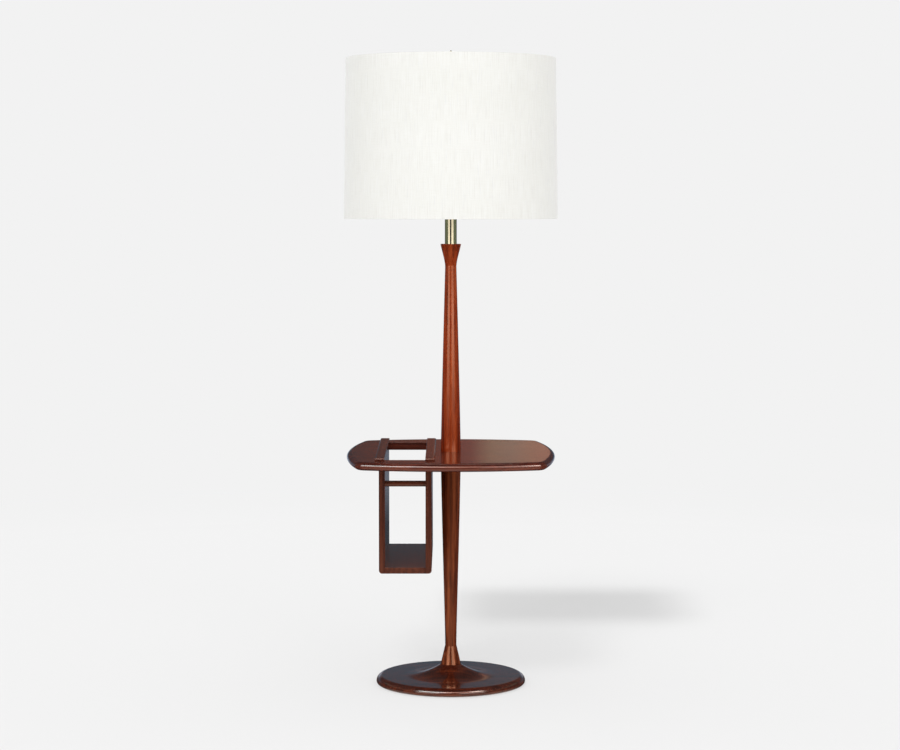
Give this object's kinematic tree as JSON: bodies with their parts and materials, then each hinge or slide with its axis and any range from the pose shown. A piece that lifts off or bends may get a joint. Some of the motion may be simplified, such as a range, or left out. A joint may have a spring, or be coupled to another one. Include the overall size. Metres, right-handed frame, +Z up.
{
  "type": "floor lamp with table",
  "caption": "Floor lamp with a turned column on a round foot, a bow-sided table with a lift-out magazine rack, and a drum shade on a wire harp.",
  "frame": {"origin": "centre of the felt's underside, on the floor and on the column's axis", "axes": "+Z up the column; the lamp's front faces -Y; the magazine rack hangs on the -X side"},
  "size_m": [0.4571, 0.5168, 1.3615],
  "materials": {
    "felt": "matt felt",
    "walnut": "glossy red-brown lacquer",
    "dowel": "plain",
    "iron": "rough",
    "steel": "zinc plated",
    "brass": "polished",
    "rubber": "matt",
    "bakelite": "moulded",
    "paperboard": "pressed fibre",
    "bulb_metal": "bright",
    "bulb_glass": "frosted white",
    "linen": "slubbed linen",
    "shade_lining": "smooth matt",
    "frame_wire": "white enamel"
  },
  "bodies": {
    "stand": {"felt_pad": "felt", "base_disc": "walnut", "base_weight": "iron", "base_washer": "steel", "base_nut": "steel", "cord_bushing": "rubber", "lower_column": "walnut", "table_top": "walnut", "upper_column": "walnut", "lamp_pipe": "steel", "neck_tube": "brass", "neck_cap": "brass", "neck_nut": "steel", "harp_saddle": "brass", "harp_wire": "brass", "harp_sleeves": "brass", "harp_stud": "brass", "socket_cap": "brass", "socket_shell": "brass", "socket_liner": "paperboard", "socket_core": "bakelite", "socket_thread": "brass", "bulb_base": "bulb_metal", "bulb_glass": "bulb_glass"},
    "rack": {"rack_left_board": "walnut", "rack_right_board": "walnut", "rack_floor": "walnut", "rack_front_bar": "walnut", "rack_back_bar": "walnut", "rack_left_rail": "walnut", "rack_right_rail": "walnut", "rack_pins": "dowel"},
    "switch": {"switch_stem": "brass", "switch_knob": "bakelite"},
    "shade": {"shade_fabric": "linen", "shade_liner": "shade_lining", "shade_spider": "frame_wire", "shade_bottom_ring": "frame_wire"},
    "finial": {"finial": "brass"}
  },
  "joints": [
    {"name": "rack_lift", "type": "slide", "parent": "stand", "child": "rack", "axis": [0, 0, 1], "range_m": [0, 0.25]},
    {"name": "switch_turn", "type": "hinge", "parent": "stand", "child": "switch", "pos_m": [0, -0.02, 1.1335], "axis": [0, -1, 0], "continuous": true},
    {"name": "shade_swivel", "type": "hinge", "parent": "stand", "child": "shade", "pos_m": [0, 0, 1.332], "axis": [0, 0, 1], "continuous": true},
    {"name": "finial_turn", "type": "hinge", "parent": "stand", "child": "finial", "pos_m": [0, 0, 1.34], "axis": [0, 0, 1], "continuous": true}
  ]
}
